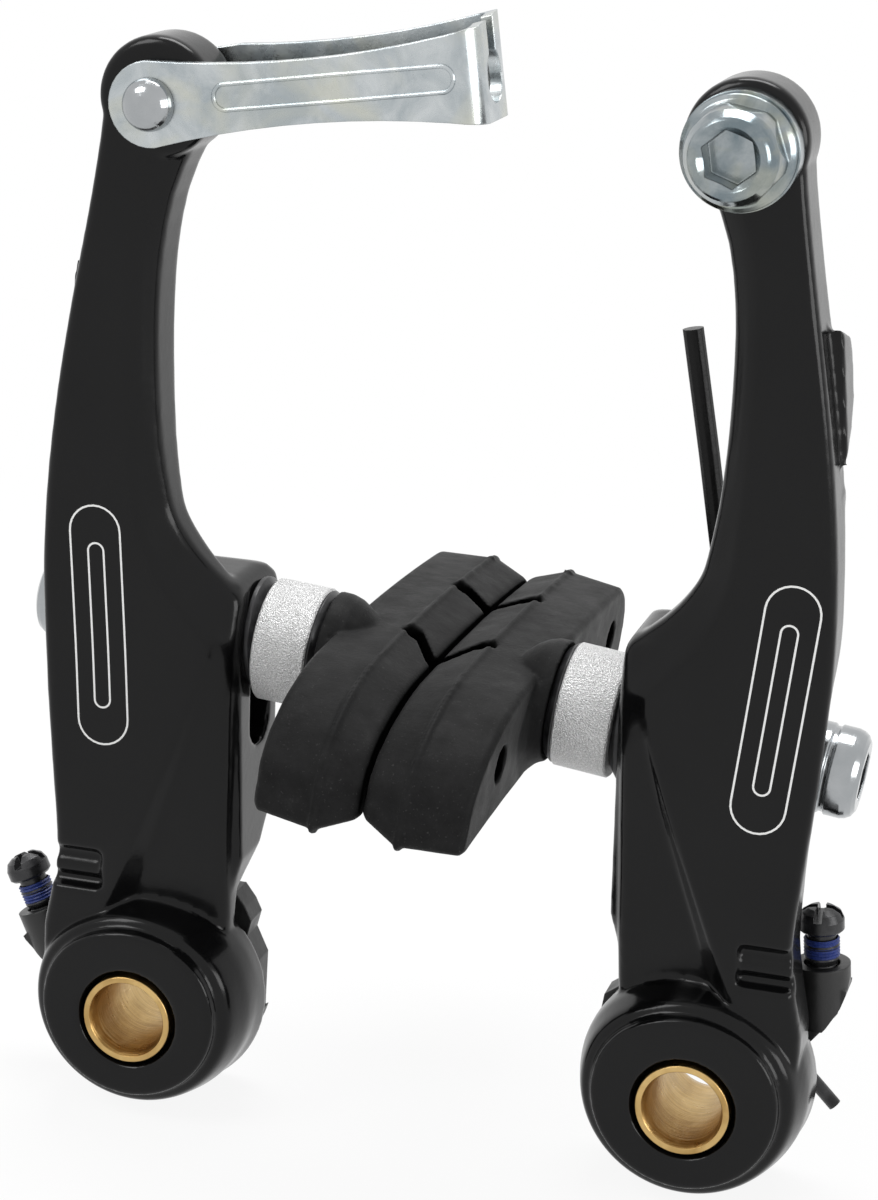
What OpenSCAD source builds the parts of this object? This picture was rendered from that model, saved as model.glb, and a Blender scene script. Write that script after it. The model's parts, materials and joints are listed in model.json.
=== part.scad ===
// Linear-pull rim brake: a pair of forged arms that turn on two brass
// bushes, with pads, springs, a cable link on one arm and a cable anchor
// bolt on the other.
//
// Frame: X runs across the wheel, Y runs along the pivot axes to the back,
// Z is up. The origin lies midway between the two pivot axes, level with
// them, at the middle of the bushes' length. Every side module is drawn
// for the link side, with its own origin on the pivot axis in the plane of
// the bush front and +X towards the rim. The other side is its mirror
// image.

/* [Layout] */
// distance between the two pivot axes
pivot_spacing = 63.4; // [58:0.1:80]
// height of the rivet and the anchor bolt above the pivot axes
arm_length = 101.9; // [90:0.1:115]
// clearance of each turning fit, on the radius
fit_clear = 0.05; // [0.02:0.01:0.1]
// gap between the two friction faces at rest
pad_gap = 0.3; // [0:0.1:6]

/* [Arm] */
// radius of the boss around the pivot
boss_r = 12.6; // [11:0.1:14]
// radius of the flat ring on the boss front
ring_r = 9.4; // [8:0.1:11]
// radius of the rounded head at the top of the arm
head_r = 6.4; // [5.5:0.1:8]
// thickness of the head
head_thick = 8; // [6:0.1:10]
// distance of the head's front face behind the bush front
head_front = 4; // [2:0.1:6]
// distance of the inner side face from the pivot plane
side_x = 10.6; // [9:0.1:12]
// thickness of the slotted wall that the pad stud passes
slot_wall = 14.4; // [8:0.1:15]
// width of the pad stud slot
slot_w = 6.4; // [6.1:0.1:8]
// travel of the pad stud in its slot, above and below its place
slot_travel = 5.3; // [0:0.1:7]
// depth of the channel behind the upper arm
channel_depth = 3.6; // [1:0.1:5]
// wall left on each side of that channel
channel_wall = 2.3; // [1.5:0.1:4]

/* [Pivot bush] */
// outside diameter of the bush
bush_d = 10.2; // [9.5:0.1:12]
// bore of the bush, for the 8 mm frame stud
bush_bore = 8.06; // [8:0.01:8.5]
// diameter of the bevel at each mouth of the bore
bush_mouth = 8.8; // [8.2:0.1:9.5]
// length of the bush, over the 16 mm frame stud
bush_len = 16.4; // [16:0.1:20]
// diameter of the counterbore around the bush front
counter_d = 11.3; // [10.8:0.1:13]
// depth of that counterbore
counter_depth = 1.4; // [0.5:0.1:3]

/* [Spring] */
// wire diameter
wire_d = 1.5; // [1.2:0.1:2]
// mean radius of the coil
coil_r = 7.6; // [7.3:0.1:8.2]
// pitch of the coil
coil_pitch = 1.62; // [1.6:0.01:1.8]
// outside diameter of the plastic sleeve on the spring leg
sleeve_d = 2.3; // [2.1:0.1:3]
// length of that sleeve
sleeve_len = 27; // [15:0.5:32]
// turn of the link side's spring holder, in degrees
turn_left = 29; // [0:1:40]
// turn of the anchor side's spring holder, in degrees
turn_right = 0; // [0:1:40]

/* [Spring holder] */
// outside radius of the holder ring
holder_r = 11.6; // [10:0.1:12.4]
// thickness of the holder ring
holder_t = 3.6; // [3:0.1:4.2]
// gap between the arm's boss and the holder
holder_gap = 0.4; // [0.2:0.1:1]
// radius of the lug that carries the tension screw
lug_r = 3.1; // [2.6:0.1:3.5]
// thread diameter of the tension screw
screw_d = 3.9; // [3:0.1:4]
// head diameter of the tension screw
screw_head_d = 5; // [4:0.1:6]
// length of the tension screw's shank
screw_len = 10; // [7:0.1:14]
// shank left standing out above the lug
screw_out = 3.7; // [0.5:0.1:6]
// diameter of the pin that stands in the frame's spring hole
pin_d = 2.8; // [2:0.1:3]
// distance of that pin from the pivot axis
pin_r = 10.2; // [9.5:0.1:10.5]
// length of the pin behind the holder
pin_out = 3.6; // [2:0.1:5]

/* [Pad] */
// length of each pad
pad_len = 71.5; // [50:0.5:75]
// height of each pad at its parting line
pad_h = 12.6; // [10:0.1:15]
// height of the friction face
pad_face_h = 9.8; // [7:0.1:13]
// height of the back face
pad_back_h = 12; // [8:0.1:14]
// thickness of each pad
pad_t = 11.2; // [8:0.1:13]
// distance of the parting line from the back face
pad_part = 6.8; // [2:0.1:9]
// height of the stud above the middle of the pad
pad_drop = 1.9; // [0:0.1:3]
// radius of the arch that the pads follow along the rim
pad_arch = 420; // [250:10:1000]
// height of the middle of the stud slots above the pivot axes
stud_z = 38.6; // [30:0.1:48]
// distance of the pad studs behind the bush fronts
stud_y = 13; // [11:0.1:15]
// part of the pad that lies in front of its stud
pad_front = 29.5; // [20:0.5:45]
// tilt of the pads about their studs, back end up, in degrees
pad_tilt = 0; // [-5:0.1:10]
// height of the link side's stud above the middle of its slot
left_lift = 4.6; // [-5:0.1:5]
// height of the anchor side's stud above the middle of its slot
right_lift = -1; // [-5:0.1:5]
// angle of the link side's stud in its ball washers, pad end up, in degrees
left_lean = -5; // [-8:0.5:8]
// angle of the anchor side's stud in its ball washers, in degrees
right_lean = 7; // [-8:0.5:8]
// thread diameter of the pad stud
stud_d = 6; // [5:0.1:6]
// diameter of the thick spacer between arm and pad
spacer_d = 13.6; // [12:0.1:15]
// thickness of the thick spacer at its edge
spacer_t = 6.2; // [3:0.1:8]
// thickness of the thin spacer under the nut, in its hollow
thin_t = 3; // [2:0.1:5]
// diameter of the thin spacer
thin_d = 12; // [11:0.1:15]
// thickness of a rounded cup washer at its middle
cup_t = 2.6; // [2:0.1:3.2]
// diameter of the round pad nut
nut_d = 9.8; // [9:0.1:11]
// height of the pad nut
nut_h = 5.4; // [4:0.1:7]

/* [Cable link] */
// gap between the two link plates
link_gap = 8.4; // [8:0.1:10]
// thickness of the link's sheet
sheet = 1.3; // [1:0.1:1.6]
// length from the rivet to the outer face of the end plate
link_len = 35.6; // [28:0.1:40]
// height of the link at the rivet
link_h = 9; // [7:0.1:10]
// height of the link halfway along
link_waist = 6.5; // [5:0.1:8]
// height of the end plate
end_h = 9.8; // [8:0.1:12]
// outside radius of the two bends
link_bend = 2.4; // [1.7:0.1:3]
// diameter of the round part of the keyhole
key_d = 5.2; // [4.5:0.1:6]
// width of the keyhole's neck
key_neck = 2.6; // [2:0.1:3.5]
// angle of the link above level at rest, in degrees
link_tilt = 8.5; // [-20:0.5:30]
// diameter of the rivet shank
rivet_d = 4; // [3.5:0.1:5]
// diameter of the rivet dome
rivet_head_d = 5.6; // [5:0.1:7]

/* [Cable anchor] */
// diameter of the anchor bolt's flange
flange_d = 11.6; // [10:0.1:13]
// thickness of that flange
flange_t = 1.5; // [1:0.1:2.5]
// size across the flats of the bolt's hexagon
bolt_af = 9.4; // [9:0.1:10]
// height of the hexagon
bolt_h = 4.2; // [3:0.1:5]
// diameter of the flat face on top of the hexagon
bolt_face_d = 7.8; // [7:0.1:9]
// size across the flats of the hexagon socket
socket_af = 5; // [4:0.1:5.5]
// thread diameter of the anchor bolt
bolt_d = 6; // [5:0.1:6]
// diameter of the cable washer behind the flange
clamp_d = 12; // [11:0.1:14]
// thickness of the cable washer
clamp_t = 2.6; // [1.5:0.1:3]

/* [Hidden] */

e = 0.01;
head_x = 0.7;
head_back = head_front + head_thick;
bush_r = bush_d / 2;
barrel_r = bush_r + fit_clear;
half_gap = pad_gap / 2;
// outer face of the slotted wall
wall_x = side_x - slot_wall;
// stations of the stack between arm and pad
cup_x = side_x;
rim_gap = cup_t - 1.6;
washer_x = cup_x + rim_gap + spacer_t;
// the ball faces of both cups share one centre, midway in the wall
ball_x = side_x - slot_wall / 2;
ball_r = slot_wall / 2 + cup_t;
rim_x = pivot_spacing / 2 - half_gap;
pad_back = rim_x - pad_t;
holder_front = bush_len - holder_t;
boss_depth = holder_front - holder_gap;
// plane of the first turn of the coil
coil_y = boss_depth - 3.1;
// level of the lug top and the screw axis in the holder's own turn
lug_x = -11.6;
lug_z = 12.9;
lug_y = bush_len - 1.4;
lug_tilt = 5;
lug_h = 7;

/* curve through the points of a table [[z, value], ...] */
function seg(t, z, i = 0) =
  (i >= len(t) - 2 || z < t[i + 1][0]) ? i : seg(t, z, i + 1);
function rise(t, i, j) = (t[j][1] - t[i][1]) / (t[j][0] - t[i][0]);
function tang(t, i) =
  i == 0 ? rise(t, 0, 1) :
  i == len(t) - 1 ? rise(t, i - 1, i) : rise(t, i - 1, i + 1);
function cv(t, z) =
  let (i = seg(t, z), h = t[i + 1][0] - t[i][0], u = (z - t[i][0]) / h)
  let (a = t[i][1], b = t[i + 1][1], p = tang(t, i) * h)
  let (q = tang(t, i + 1) * h, u2 = u * u, u3 = u * u * u)
  (2 * u3 - 3 * u2 + 1) * a + (u3 - 2 * u2 + u) * p
  + (3 * u2 - 2 * u3) * b + (u3 - u2) * q;
// the arm above the pad is stretched to reach the set arm length
function stretch(z) = z < 52 ? z : 52 + (z - 52) * (arm_length - 52) / 49.9;

/* edges of the arm seen from the front, by height */
outer_edge = [[0, -11.2], [8, -11.5], [13, -10.6], [18, -9.9], [27, -10.5],
  [38, -11.4], [50, -11.9], [60, -11.5], [70, -10.4], [80, -8.8],
  [91, -6.8], [100, -5.4], [104, -5.2]];
inner_edge = [[0, 8.6], [10, 9.3], [27, 9.8], [38, 10.1], [46, 10.4],
  [48.8, 10.2], [50.2, 8.7], [52, 6.6], [54, 4.8], [57, 2.9], [60, 2.1],
  [66, 1.2], [75, 0.7], [83, 0.8], [88, 1.3], [92, 2.1], [96, 3.6],
  [100, 5.6], [104, 6.6]];
front_face = [[0, 3.1], [14, 2.9], [18, 2.8], [30, 3.1], [43, 3.6],
  [80, 3.8], [91, 4.1], [104, 4.1]];
back_face = [[0, 10.8], [18, 10.2], [24, 8.2], [29, 6.2], [46.4, 6.2],
  [48.4, 8], [50.4, 9.6], [53, 10.3], [58, 10.6], [70, 11.6], [95, 12],
  [104, 12]];
// ridge: below z 43 the diagonal crease, above it the inner bevel
ridge_x = [[0, -7.6], [8, -5.2], [13.6, -3.3], [43, 7.4], [46.8, 5.1],
  [50.5, 1.9], [53.6, 0.4], [56.5, -0.7], [60, -1.3], [70, -1.9],
  [82, -2], [90, -1.4], [96, 0.4], [103, 2.6]];
step_w = [[0, 2.8], [13.6, 2.4], [28, 1.6], [42, 0.9], [47, 2.6],
  [50, 3.2], [54, 2.1], [60, 1.6], [75, 1.3], [104, 1.3]];
step_d = [[0, 3.0], [13.6, 2.3], [28, 1.5], [42, 0.5], [47, 1.1],
  [50, 1.4], [55, 1.1], [75, 0.6], [104, 0.6]];
edge_d = [[0, 4.6], [10, 4.2], [16, 3.6], [28, 2.5], [42, 1.2],
  [47, 2.2], [50, 2.7], [55, 2.2], [65, 1.5], [104, 1.4]];

function arc(cx, cy, r, a, b, n) =
  [for (i = [0:n]) [cx + r * cos(a + (b - a) * i / n),
                    cy + r * sin(a + (b - a) * i / n)]];

// the slotted wall stands out behind and on the inner side
block_back = concat([[12, 10.3], [13.6, 10.9], [15.6, 13], [22.2, 18.8],
  [24.1, stud_y + 6.4]], [for (i = [0:3]) [47 + 3.2 * sin(i * 30),
  stud_y + 3.2 + 3.2 * cos(i * 30)]], [[50.2, 8]]);
// outer side of that wall, which leans away from the tension screw
block_wall = [[12, 1.4], [20, 1.2], [23.5, 0.4], [29.5, wall_x]];
block_side = [[13.6, 9], [17, side_x], [47.5, side_x], [48.8, side_x - 0.3],
  [49.8, side_x - 1], [50.2, 8.6]];

function section(z) =
  let (xo = cv(outer_edge, z), xi = cv(inner_edge, z))
  let (yf = cv(front_face, z), yb = cv(back_face, z))
  let (xa = cv(ridge_x, z), d1 = cv(step_d, z), d2 = cv(edge_d, z))
  let (xb = min(xa + cv(step_w, z), xi - 1.2), r = 1.1)
  let (inside = z > 12 && z < 50.21, xw = lookup(z, block_wall))
  let (xs = inside ? max(xi, lookup(z, block_side)) : xi)
  let (by = inside ? max(yb, lookup(z, block_back)) : yb)
  concat(arc(xo + r, yf + r, r, 180, 270, 4),
    [[xa - 0.25, yf], [xa + 0.2, yf + 0.08], [xb, yf + d1],
     [xi - 0.8, yf + d2 - 0.25], [xi - 0.25, yf + d2 + 0.15],
     [xi, yf + d2 + 0.8], [xs, yf + d2 + 1.5]],
    arc(xs - r, by - r, r, 0, 90, 3), [[xw + 0.15, by], [xw, yb]],
    arc(xo + r, yb - r, r, 90, 180, 3));

/* solid through the sections at a list of heights */
module loft(zs) {
  rows = [for (z = zs) section(z)];
  m = len(rows[0]);
  n = len(zs);
  pts = [for (i = [0:n - 1]) for (p = rows[i]) [p[0], p[1], stretch(zs[i])]];
  sides = [for (i = [0:n - 2]) for (j = [0:m - 1]) for (k = [0:1])
    let (a = i * m + j, b = i * m + (j + 1) % m)
    k == 0 ? [a, a + m, b] : [b, a + m, b + m]];
  low = [[for (j = [0:m - 1]) j]];
  top = [[for (j = [m - 1:-1:0]) (n - 1) * m + j]];
  polyhedron(points = pts, faces = concat(low, sides, top));
}

/* round bar along a list of points */
function unit(v) = v / norm(v);
function dir(p, i) =
  i == 0 ? unit(p[1] - p[0]) :
  i == len(p) - 1 ? unit(p[i] - p[i - 1]) :
  unit(unit(p[i + 1] - p[i]) + unit(p[i] - p[i - 1]));
module bar(p, r, m = 8) {
  n = len(p);
  pts = [for (i = [0:n - 1])
    let (t = dir(p, i), u = unit(cross(t, [0.02, 1, 0.03])))
    let (v = cross(t, u))
    for (j = [0:m - 1])
      p[i] + r * (cos(j * 360 / m) * u + sin(j * 360 / m) * v)];
  sides = [for (i = [0:n - 2]) for (j = [0:m - 1]) for (k = [0:1])
    let (a = i * m + j, b = i * m + (j + 1) % m)
    k == 0 ? [a, a + m, b] : [b, a + m, b + m]];
  low = [[for (j = [0:m - 1]) j]];
  top = [[for (j = [m - 1:-1:0]) (n - 1) * m + j]];
  polyhedron(points = pts, faces = concat(low, sides, top));
}

/* cylinders along X and along Y */
module xcyl(x, y, z, r, h) {
  translate([x, y, z]) rotate([0, 90, 0]) cylinder(r = r, h = h, $fn = 48);
}
module ycyl(x, y, z, r, h, f = 64) {
  translate([x, y, z]) rotate([-90, 0, 0]) cylinder(r = r, h = h, $fn = f);
}
/* turned shape about an axis along Y, from points [radius, y] */
module yturn(p, f = 64) {
  rotate([-90, 0, 0]) rotate_extrude($fn = f) polygon(p);
}
/* turned shape about an axis along X, from points [radius, x] */
module xturn(p, f = 48) {
  rotate([0, 90, 0]) rotate_extrude($fn = f) polygon(p);
}
module hexbar(af, h) {
  cylinder(d = af / cos(30), h = h, $fn = 6);
}
module left() {
  translate([-pivot_spacing / 2, -bush_len / 2, 0]) children();
}
module right() {
  translate([pivot_spacing / 2, -bush_len / 2, 0]) mirror([1, 0, 0])
    children();
}

/* arm */
module boss() {
  swell = [for (i = [0:8]) let (a = i * 90 / 8)
    [ring_r + 0.1 + (boss_r - ring_r - 0.1) * sin(a), 7 - 5.6 * cos(a)]];
  yturn(concat([[0, 0], [ring_r - 0.3, 0], [ring_r, 0.3], [ring_r, 1.3]],
    swell, [[boss_r, boss_depth - 1], [boss_r - 1, boss_depth],
    [0, boss_depth]]));
}

module head() {
  translate([head_x, 0, arm_length + 0.5])
    yturn([[0, head_front], [head_r - 0.9, head_front],
      [head_r - 0.25, head_front + 0.3], [head_r, head_front + 1],
      [head_r, head_back - 1], [head_r - 0.25, head_back - 0.3],
      [head_r - 0.9, head_back], [0, head_back]]);
}

module arm_solid() {
  loft(concat([1, 3.4, 5.8, 8.2, 10.6, 12, 13.6, 15.6, 17.8, 20, 22.2],
    [for (z = [24.1:2.6:42.4]) z], [44.2, 45.6, 47, 47.9, 48.6, 49.2, 49.7],
    [50, 50.19, 50.22], [for (z = [51:0.9:60]) z],
    [for (z = [62:3:104]) z]));
  boss();
  head();
  // raised stop for the spring leg behind the outer edge
  translate([-10.9, 10.2, stretch(73)]) rotate([0, 6, 0]) stop();
  // small lip below it
  translate([-10.9, 10, stretch(59.6)]) rotate([90, 0, 90])
    linear_extrude(height = 3)
      polygon([[-1.4, 0], [1.2, 2.6], [1.4, 6.6], [0.6, 7.6], [-1.4, 7]]);
}

module stop() {
  rotate([90, 0, 90]) linear_extrude(height = 4.9)
    polygon([[-2, -3], [2.4, 1], [3.6, 3], [3.6, 8], [2.4, 9.6], [-2, 11]]);
}

module spring_channel() {
  zs = [for (z = [57:3:93]) z];
  outer = [for (z = zs) [cv(outer_edge, z) + channel_wall, stretch(z)]];
  inner = [for (i = [len(zs) - 1:-1:0])
    [cv(inner_edge, zs[i]) - channel_wall, stretch(zs[i])]];
  translate([0, 12 - channel_depth + 6, 0]) rotate([90, 0, 0])
    linear_extrude(height = 6) polygon(concat(outer, inner));
}

module notch() {
  p = [[1, 19], [3.9, 18.3], [4.2, 17], [3.5, 16.5], [3.7, 15.3],
    [4.5, 15], [4.3, 14], [1, 13.2]];
  translate([-14, 0, 0]) rotate([90, 0, 90])
    linear_extrude(height = 9.7) polygon(p);
}

module arm() {
  difference() {
    arm_solid();
    // bore for the bush and its counterbore
    ycyl(0, -1, 0, barrel_r, boss_depth + 2);
    ycyl(0, -1, 0, counter_d / 2, counter_depth + 1);
    // room for the spring coil, open to the back
    difference() {
      ycyl(0, coil_y - 1, 0, coil_r + 1.7, boss_depth);
      ycyl(0, coil_y - 1.3, 0, coil_r - 1.2, boss_depth + 2);
    }
    // way out for the spring leg
    translate([-9.3, coil_y - 1, 3]) cube([11, 6, 9.2]);
    translate([-9.3, coil_y + 1, 3.1]) cube([11.2, 8, 17]);
    spring_channel();
    notch();
    // slot for the pad stud
    xcyl(wall_x - 1, stud_y, stud_z - slot_travel, slot_w / 2, slot_wall + 2);
    xcyl(wall_x - 1, stud_y, stud_z + slot_travel, slot_w / 2, slot_wall + 2);
    translate([wall_x - 1, stud_y - slot_w / 2, stud_z - slot_travel])
      cube([slot_wall + 2, slot_w, 2 * slot_travel]);
  }
}

module left_arm() {
  color([0.05, 0.05, 0.055]) left() difference() {
    arm();
    ycyl(head_x, 0, arm_length, rivet_d / 2 + 0.02, 20, 48);
  }
}

module right_arm() {
  color([0.05, 0.05, 0.055]) right() difference() {
    arm();
    ycyl(head_x, 0, arm_length, bolt_d / 2 + 0.04, 20, 48);
  }
}

/* bush */
module bush() {
  b = (bush_mouth - bush_bore) / 2;
  yturn([[bush_bore / 2, b], [bush_mouth / 2, 0], [bush_r - 0.2, 0],
    [bush_r, 0.2], [bush_r, bush_len - 0.2], [bush_r - 0.2, bush_len],
    [bush_mouth / 2, bush_len], [bush_bore / 2, bush_len - b]]);
}
module left_bush() {
  color([0.80, 0.62, 0.30]) left() bush();
}
module right_bush() {
  color([0.80, 0.62, 0.30]) right() bush();
}

/* spring */
// the free leg of the anchor side and the hooked leg of the link side
leg_free = [[-7.4, coil_y, 3], [-6.9, coil_y + 1.3, 8], [-5.9, 16, 15],
  [-4, 19.6, 18.5], [-2.9, 20.6, 22], [0.8, 20.6, 38], [2.6, 20.3, 51.6],
  [5.3, 20.1, 66.8], [7.7, 20, 79.4]];
leg_hook = [[-7.4, coil_y, 3], [-6.9, coil_y + 1.3, 8], [-6.1, 16, 15],
  [-5.3, 19.6, 17.5], [-5.1, 20.6, 21], [-4.4, 20.6, 46],
  [-4.2, 17.4, 54], [-4.2, 13.6, 62], [-4.2, 12.2, 82]];

module spring(leg, turn) {
  last = 135 + turn + 360;
  n = 44;
  y0 = coil_y;
  coil = [for (i = [0:n]) let (a = 180 + (last + 360 - 180) * i / n)
    [coil_r * cos(a), y0 + coil_pitch * (a - 180) / 360,
     coil_r * sin(a)]];
  yl = y0 + coil_pitch * (last + 180) / 360;
  d = last + 90;
  ex = coil_r * cos(last);
  ez = coil_r * sin(last);
  tail = [for (s = [3, 5, 14.6]) [ex + s * cos(d),
    yl + (lug_y - 0.4 - yl) * min(s / 5, 1), ez + s * sin(d)]];
  up = [for (i = [len(leg) - 1:-1:0]) leg[i]];
  bar(concat(up, coil, tail), wire_d / 2);
}
module left_spring() {
  color([0.10, 0.10, 0.11]) left() spring(leg_hook, turn_left);
}
module right_spring() {
  color([0.10, 0.10, 0.11]) right() spring(leg_free, turn_right);
}

// sleeve pushed over the top end of a leg
function along(p, i, s) = p[i] + s * unit(p[i] - p[i - 1]);
module sleeve(leg) {
  n = len(leg) - 1;
  low = sleeve_len - norm(leg[n] - leg[n - 1]);
  d = unit(leg[n - 1] - leg[n - 2]);
  p = [leg[n - 1] - low * d, leg[n - 1], along(leg, n, 0.8)];
  q = [p[0] - d, leg[n - 1], along(leg, n, 0.05)];
  difference() {
    bar(p, sleeve_d / 2, 12);
    bar(q, wire_d / 2 + 0.1, 12);
  }
}
module left_sleeve() {
  color([0.03, 0.03, 0.03]) left() sleeve(leg_hook);
}
module right_sleeve() {
  color([0.03, 0.03, 0.03]) right() sleeve(leg_free);
}

/* spring holder, its pin and its screw */
module lug_frame() {
  translate([lug_x, lug_y, lug_z]) rotate([0, lug_tilt, 0]) children();
}

module holder(turn) {
  rotate([0, -turn, 0]) difference() {
    union() {
      ycyl(0, holder_front, 0, holder_r, holder_t);
      // corner on the inner side
      translate([0, holder_front, 0]) rotate([-90, 0, 0])
        mirror([0, 1, 0]) linear_extrude(height = holder_t)
          polygon([[2, 9.4], [9.6, 8.8], [13.2, 6.9], [14.1, 4.6],
            [13.9, 2.8], [12.7, 1.2], [11.9, -2.4], [8, -8], [2, -6]]);
      // lug and the web under it
      lug_frame() translate([0, 0, -lug_h])
        cylinder(r = lug_r, h = lug_h, $fn = 48);
      translate([0, holder_front + 0.1, 0]) rotate([-90, 0, 0])
        mirror([0, 1, 0]) linear_extrude(height = holder_t + 0.6)
          polygon([[-6.4, 6], [-9.3, 10.2], [-9.6, 12], [-11.6, 11.8],
            [-14.9, 10.6], [-14.6, 7.6], [-13.4, 4.6], [-11.4, 1.6], [-6, 2]]);
    }
    // hole around the bush
    ycyl(0, holder_front - 1, 0, bush_r + fit_clear, 6);
    // room for the last turn of the coil
    difference() {
      ycyl(0, holder_front - 1, 0, coil_r + 1.1, 2.3);
      ycyl(0, holder_front - 2, 0, coil_r - 1.1, 4);
    }
    // groove that holds the short end of the wire
    translate([coil_r * cos(135), 0, coil_r * sin(135)])
      rotate([0, -45, 0]) translate([-20, holder_front - 1, -0.86])
        cube([21, lug_y + 0.45 - holder_front + 1, 1.72]);
    // thread hole for the screw
    lug_frame() translate([0, 0, -lug_h - 3.4])
      cylinder(d = screw_d + 0.1, h = lug_h + 4.4, $fn = 32);
    // hole for the pin
    pin_place() translate([0, 0, -0.02])
      cylinder(d = pin_d + 0.04, h = holder_t, $fn = 32);
  }
}
module pin_place() {
  rotate([0, 62, 0]) translate([-pin_r + 2, bush_len - 2.4, 0])
    rotate([-90, 0, 0]) children();
}
module left_holder() {
  color([0.04, 0.04, 0.04]) left() holder(turn_left);
}
module right_holder() {
  color([0.04, 0.04, 0.04]) right() holder(turn_right);
}

module frame_pin(turn) {
  rotate([0, -turn, 0]) pin_place() {
    cylinder(d = pin_d, h = 2.4 + pin_out - 0.5, $fn = 32);
    translate([0, 0, 1.9 + pin_out])
      cylinder(d1 = pin_d, d2 = pin_d - 0.8, h = 0.5, $fn = 32);
  }
}
module left_frame_pin() {
  color([0.25, 0.25, 0.26]) left() frame_pin(turn_left);
}
module right_frame_pin() {
  color([0.25, 0.25, 0.26]) right() frame_pin(turn_right);
}

module tension_screw(turn) {
  r = screw_d / 2;
  h = screw_head_d / 2;
  rotate([0, -turn, 0]) lug_frame() translate([0, 0, screw_out])
    difference() {
      union() {
        rotate_extrude($fn = 32) polygon(concat([[0, -screw_len],
          [r - 0.6, -screw_len], [r - 0.3, 0.4 - screw_len]],
          [for (i = [0:12]) [i % 2 == 0 ? r - 0.35 : r,
            0.7 - screw_len + i * 0.7]],
          [[r - 0.35, 0], [h - 0.3, 0], [h, 0.3], [h, 1.4],
           [h - 0.35, 2.2], [h - 1.1, 2.7], [0, 2.9]]));
      }
      translate([-3, -0.45, 1.6]) cube([6, 0.9, 2]);
      translate([-0.45, -3, 1.6]) cube([0.9, 6, 2]);
    }
}
module left_tension_screw() {
  color([0.09, 0.09, 0.10]) left() tension_screw(turn_left);
}
module right_tension_screw() {
  color([0.09, 0.09, 0.10]) right() tension_screw(turn_right);
}

/* pad group: everything on one pad stud */
module at_slot(lift) {
  translate([0, stud_y, stud_z + lift]) children();
}
module at_stud(lift, lean) {
  translate([ball_x, stud_y, stud_z + lift]) rotate([0, -lean, 0])
    translate([-ball_x, 0, 0]) children();
}

// outline of the pad seen along the stud, about the stud: bow in front,
// rounded stern behind, arched along the rim; ky and kz shrink it
pad_mid = pad_len / 2 - pad_front;
function pad_low(y) = pad_drop + y * y / 2 / pad_arch;
function pad_ring(x, ky, kz) =
  let (f = -pad_front, b = pad_len - pad_front, h = pad_h / 2)
  let (p = concat([[f + 1, -h], [f, -h + 1], [f + 0.3, -h + 2.6]],
    [for (i = [0:8]) let (a = 6 + i * 10.5)
      [f + 18.4 - 18 * cos(a), -2.5 + (h + 2.5) * sin(a)]],
    [for (i = [0:5]) [f + 18.4 + (pad_len - 24.8) * (i + 1) / 7, h]],
    [for (i = [0:4]) let (a = 90 - i * 22.5)
      [b - 6.4 + 6.4 * cos(a), h - 6.4 + 6.4 * sin(a)]],
    [for (i = [0:3]) let (a = -i * 30)
      [b - 4.4 + 4 * cos(a), -h + 4 + 4 * sin(a)]],
    [for (i = [0:6]) [b - 4.4 - (pad_len - 5.4) * (i + 1) / 8, -h]]))
  [for (q = p) let (y = pad_mid + (q[0] - pad_mid) * ky)
    [x, y, q[1] * kz - pad_low(y)]];

module pad_solid() {
  m = pad_part;
  kb = pad_back_h / pad_h;
  kf = pad_face_h / pad_h;
  r = 1 + 0.8 / pad_h;
  skin([pad_ring(0, 0.945, kb - 0.07), pad_ring(0.5, 0.96, kb),
    pad_ring(m - 0.25, 0.985, 1), pad_ring(m - 0.15, 0.995, r),
    pad_ring(m + 0.15, 0.995, r), pad_ring(m + 0.25, 0.985, 1),
    pad_ring(pad_t - 0.5, 0.95, kf), pad_ring(pad_t, 0.935, kf - 0.06)]);
  // vent nibs on the parting line
  y1 = pad_len - pad_front - 7.2;
  y2 = 1.6 - pad_front;
  for (q = [[y1, pad_h / 2 - pad_low(y1) - 0.2],
    [y2, -pad_h / 2 - pad_low(y2) - 1.1]])
    translate([m, q[0], q[1]]) cylinder(d = 0.9, h = 1.3, $fn = 24);
}

// closed solid through rings of points of equal number
module skin(rows) {
  n = len(rows);
  m = len(rows[0]);
  pts = [for (r = rows) for (p = r) p];
  sides = [for (i = [0:n - 2]) for (j = [0:m - 1]) for (k = [0:1])
    let (a = i * m + j, b = i * m + (j + 1) % m)
    k == 0 ? [a, b, a + m] : [b, b + m, a + m]];
  low = [[for (j = [m - 1:-1:0]) j]];
  top = [[for (j = [0:m - 1]) (n - 1) * m + j]];
  polyhedron(points = pts, faces = concat(low, sides, top));
}

// outline of a water notch seen from above: open at the friction face,
// leaning to the back with its depth
module water_notch(y, s) {
  translate([0, 0, -20]) linear_extrude(height = 40)
    polygon(concat([[pad_t + 0.4, y - 2.8]],
      arc(pad_t - 3.3, y + s, 1, 260, 95, 6), [[pad_t + 0.4, y + 2.6]]));
}

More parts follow.
